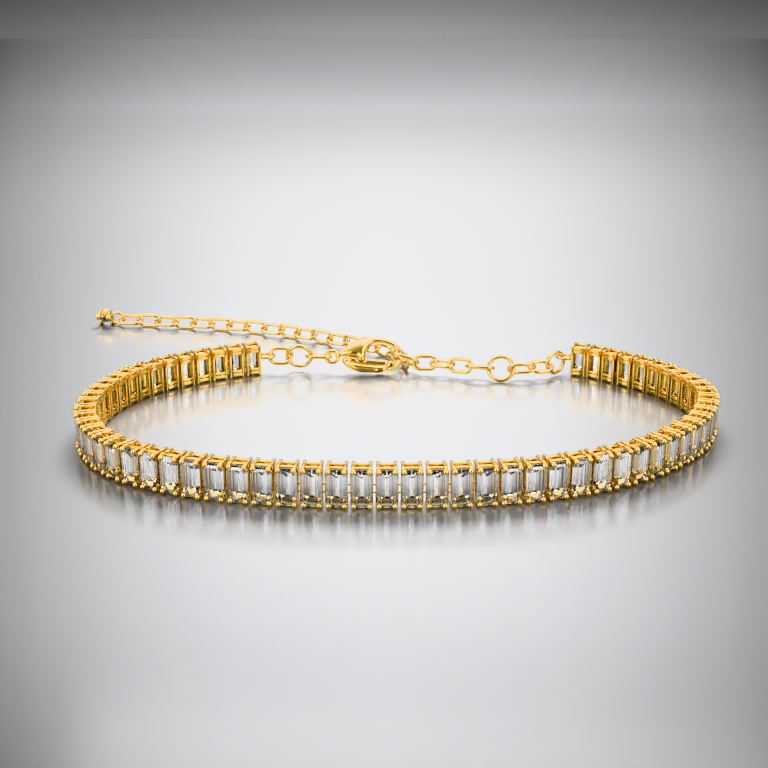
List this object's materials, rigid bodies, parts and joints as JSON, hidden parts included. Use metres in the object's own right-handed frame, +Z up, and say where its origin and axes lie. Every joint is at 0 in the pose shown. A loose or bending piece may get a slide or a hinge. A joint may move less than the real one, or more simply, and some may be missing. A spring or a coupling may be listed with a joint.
{
  "type": "tennis bracelet",
  "caption": "Tennis bracelet of step-cut stones in four-bead settings, closed by a lobster clasp on link chain, with an extender tail and end drop",
  "frame": {"origin": "centre of the bottom of the bounding box, on the surface that the bracelet stands on", "axes": "+X along the loop's long way with the tail's end at -X, +Y from the front of the stone row to the clasp and tail, +Z up along the stones' length"},
  "size_m": [0.0844, 0.072, 0.0047],
  "materials": {
    "stone_set_gold": "clear step-cut stones in polished yellow gold plate",
    "polished_gold": "polished yellow gold plate"
  },
  "bodies": {
    "bracelet": {"stone_row_left": "stone_set_gold", "stone_row_right": "stone_set_gold", "clasp_body": "polished_gold", "claw_link": "polished_gold", "end_drop": "polished_gold", "left_link_1": "polished_gold", "left_link_2": "polished_gold", "left_link_3": "polished_gold", "right_link_1": "polished_gold", "right_link_2": "polished_gold", "right_link_3": "polished_gold", "right_link_4": "polished_gold", "right_link_5": "polished_gold", "right_link_6": "polished_gold", "right_link_7": "polished_gold", "right_link_8": "polished_gold", "tail_link_01": "polished_gold", "tail_link_02": "polished_gold", "tail_link_03": "polished_gold", "tail_link_04": "polished_gold", "tail_link_05": "polished_gold", "tail_link_06": "polished_gold", "tail_link_07": "polished_gold", "tail_link_08": "polished_gold", "tail_link_09": "polished_gold", "tail_link_10": "polished_gold", "tail_link_11": "polished_gold", "tail_link_12": "polished_gold", "tail_link_13": "polished_gold", "tail_link_14": "polished_gold", "tail_link_15": "polished_gold", "tail_link_16": "polished_gold", "tail_link_17": "polished_gold", "tail_link_18": "polished_gold"},
    "gate": {"clasp_gate": "polished_gold"}
  },
  "joints": [
    {"name": "gate_hinge", "type": "hinge", "parent": "bracelet", "child": "gate", "pos_m": [-0.00005, 0.00924, 0.00193], "axis": [-0.0094, -0.8191, 0.5736], "range_deg": [0, 25], "stiffness_Nm_per_rad": 0.002, "springref_deg": -5.73}
  ]
}
